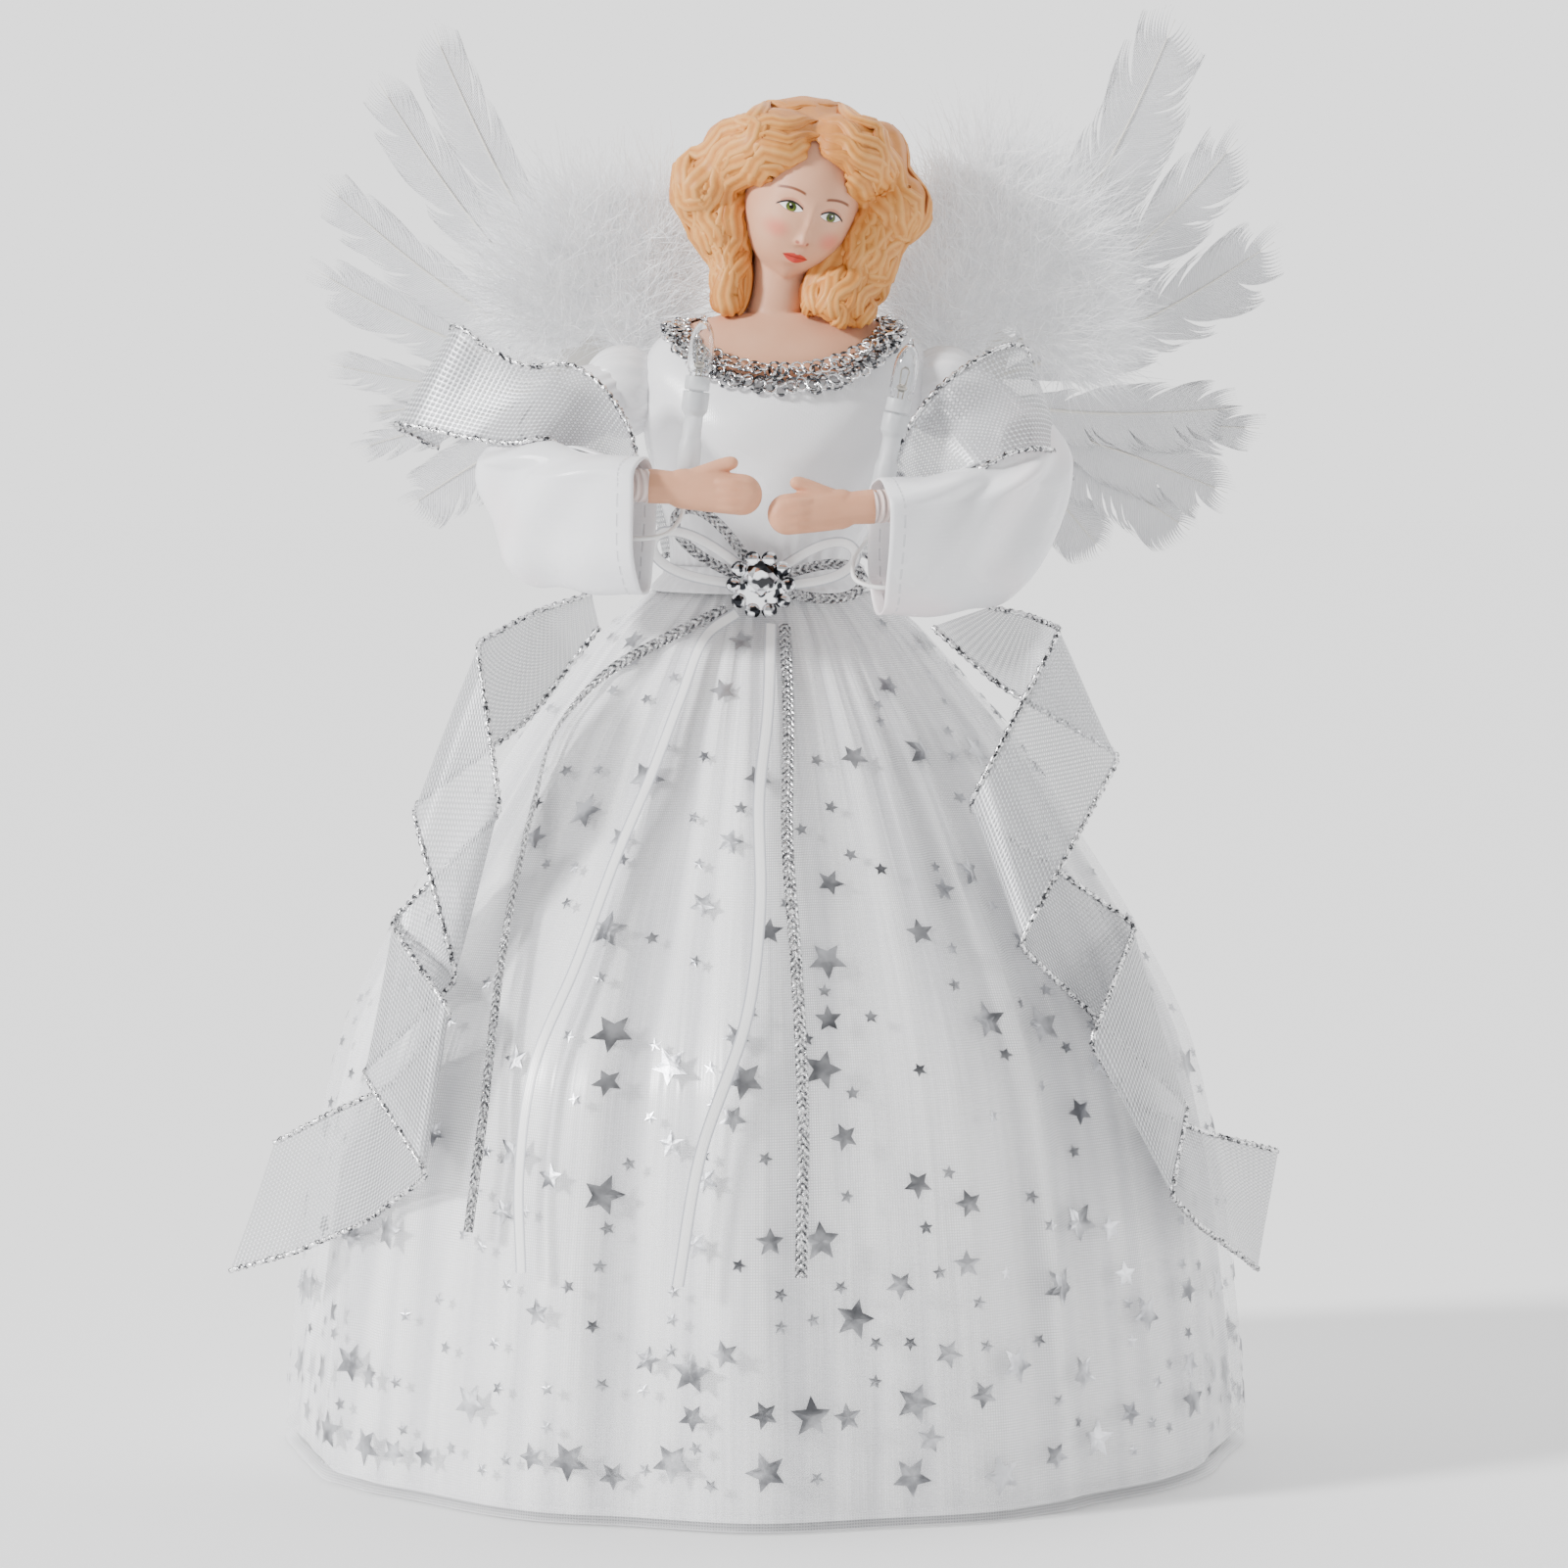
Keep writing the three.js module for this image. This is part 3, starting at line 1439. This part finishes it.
const bulbFoot = socketTop + clearance + flangeLength - bulbSeat + clearance;
// The glass outline: height and radius as shares, from the foot to the pip
const bulbOutlineShares = [
  [0.2, 1],
  [0.5, 1],
  [0.66, 0.93],
  [0.78, 0.74],
  [0.88, 0.42],
  [0.93, 0.17],
];

function bulbGlassProfile() {
  const body = bulbOutlineShares.map(([height, radius]) => [radius * bulbRadius, bulbFoot + height * bulbLength]);
  const inner = body.slice(0, -1).map(([radius, height]) => [radius - bulbWall, height - bulbWall / 2]);
  const top = bulbFoot + bulbLength;
  return [
    [bulbNeckRadius - bulbWall, bulbFoot],
    [bulbNeckRadius, bulbFoot],
    [bulbNeckRadius, bulbFoot + bulbSeat],
    ...body,
    [pipRadius, top - pipRadius * pipLengthShare],
    [pipRadius * pipTopShare, top - pipRadius * pipRoundShare],
    [0, top],
    [0, bulbFoot + bulbOutlineShares.at(-1)[0] * bulbLength - bulbWall * pipLengthShare],
    ...inner.reverse(),
    [bulbNeckRadius - bulbWall, bulbFoot + bulbSeat],
    [bulbNeckRadius - bulbWall, bulbFoot],
  ];
}

const stemRadius = 0.3;
const stemSpread = 0.75;
const stemHeight = 7;
const stemBeadRadius = 1.05;
const stemBeadHeight = 3.4;
const stemFootShare = 0.6;
const stemBeadShare = 0.7;
const stemTopShare = 1.6;
const stemSides = 4;
const stemSteps = 4;

function bulbStem() {
  const foot = bulbFoot;
  const lead = (sign) =>
    new THREE.CatmullRomCurve3([
      place(sign * stemSpread * stemFootShare, 0, foot),
      place(sign * stemSpread * stemBeadShare, 0, foot + stemBeadHeight),
      place(sign * stemSpread, 0, foot + stemHeight),
      place(0, 0, foot + stemHeight + stemSpread * stemTopShare),
    ]);
  const leads = [-1, 1].map((sign) => tube(lead(sign), () => stemRadius, stemSides, stemSteps));
  return joined(...leads, ball(place(0, 0, foot + stemBeadHeight), stemBeadRadius, 8, 6));
}

function makeLamp(side, arm) {
  const [footX, footY, tipX, tipY] = arm.lampPoints;
  const depth = arm.lampDepthShare * figureDepth;
  const foot = seenAbove([footX, footY], depth);
  const tip = seenAbove([tipX, tipY], depth);
  const lamp = new THREE.Group();
  lamp.position.copy(foot);
  lamp.rotation.y = Math.atan2(tip.x - foot.x, tip.z - foot.z);
  lamp.add(piece(`candle_holder_${side}`, turned(holderProfile(), lampSegments), "frosted"));
  lamp.add(piece(`bulb_base_${side}`, turned(bulbBaseProfile(), lampSegments), "frosted"));
  lamp.add(piece(`bulb_glass_${side}`, turned(bulbGlassProfile(), lampSegments), "glass"));
  lamp.add(piece(`bulb_stem_${side}`, bulbStem(), "glass"));
  return lamp;
}

// Lamp wires: a pair from the holder's foot into the sleeve
const lampWireRoutes = {
  right: [
    [693, 532, -0.75],
    [680, 545, -0.8],
    [655, 550, -0.82],
    [620, 546, -0.78],
  ],
  left: [
    [884, 553, -0.57],
    [872, 572, -0.66],
    [874, 592, -0.76],
    [900, 600, -0.8],
    [940, 594, -0.76],
  ],
};
const wireRadius = 0.55;
const wireSpacing = 0.9;
const wireSteps = 12;
const wireSides = 4;
const wireStraightShare = 2;

function makeLampWires(side, arm) {
  const [footX, footY, tipX, tipY] = arm.lampPoints;
  const depth = arm.lampDepthShare * figureDepth;
  const foot = seenAbove([footX, footY], depth);
  const down = foot.clone().sub(seenAbove([tipX, tipY], depth)).normalize();
  const start = foot.clone().addScaledVector(down, clearance);
  const points = [start, start.clone().addScaledVector(down, wireRadius * wireStraightShare), ...lampWireRoutes[side].map(seenRow)];
  const wires = [-1, 1].map((sign) => {
    const shift = place(0, (sign * wireSpacing) / 2, 0);
    const line = new THREE.CatmullRomCurve3(points.map((point) => point.clone().add(shift)), false, "centripetal");
    return tube(line, () => wireRadius, wireSides, wireSteps);
  });
  return piece(`lamp_wires_${side}`, joined(...wires), "wire");
}

// Stole loops: they stand over the elbows. Each row: upper edge point, lower edge point, two depth shares
const stoleLoopShares = {
  right: [
    [650, 466, 642, 500, -0.54, -0.44],
    [640, 432, 612, 478, -0.54, -0.42],
    [612, 392, 578, 440, -0.48, -0.4],
    [579, 372, 560, 424, -0.42, -0.38],
    [540, 374, 530, 424, -0.38, -0.34],
    [500, 357, 490, 430, -0.32, -0.26],
    [470, 334, 413, 430, -0.25, -0.17],
    [460, 336, 404, 434, -0.16, -0.09],
    [468, 346, 414, 442, -0.07, -0.02],
    [492, 366, 448, 458, -0.03, 0.02],
  ],
  left: [
    [908, 486, 930, 508, -0.48, -0.4],
    [922, 447, 956, 484, -0.48, -0.38],
    [956, 399, 986, 452, -0.44, -0.36],
    [998, 367, 1020, 424, -0.38, -0.33],
    [1030, 353, 1052, 420, -0.3, -0.27],
    [1047, 356, 1082, 426, -0.2, -0.14],
    [1056, 392, 1092, 476, -0.06, 0],
  ],
};

function makeStoleLoop(side) {
  const rows = stoleLoopShares[side];
  const upper = rows.map(([x, y, , , depth]) => seenRow([x, y, depth]));
  const lower = rows.map(([, , x, y, , depth]) => seenRow([x, y, depth]));
  return piece(`stole_loop_${side}`, band(upper, lower, (rows.length - 1) * 2), "sheer");
}

function makeArm(side) {
  const arm = arms[side];
  const group = new THREE.Group();
  group.add(makeArmCore(side, arm));
  group.add(makeSleeve(side, arm));
  group.add(makeHand(side, arm));
  group.add(makeLamp(side, arm));
  group.add(makeLampWires(side, arm));
  group.add(makeStoleLoop(side));
  return group;
}

const topper = new THREE.Group();
makeCone(topper);
makeBodyForm(topper);
makeHead(topper);
makeHair(topper);
makeBodice(topper);
makeNeckTrim(topper);
makeWaistband(topper);
makeSkirts(topper);
makeBrooch(topper);
makeBow(topper, "silver_bow", silverBowPoints, silverBowDepth, "silver");
makeBow(topper, "white_bow", whiteBowPoints, whiteBowDepth, "satin");
for (const [name, points] of Object.entries(tailPoints)) {
  const isSilver = name.startsWith("silver");
  makeTail(topper, name, points, isSilver ? silverTailGap : whiteTailGap, isSilver ? "silver" : "satin");
}
makeStoleTail(topper, "stole_tail_right", rightStoleTailShares);
makeStoleTail(topper, "stole_tail_left", leftStoleTailShares);
makeStoleBack(topper);
makeWingPlate(topper);
for (const side of ["right", "left"]) {
  topper.add(makeWing(side));
  topper.add(makeArm(side));
}

export default topper;
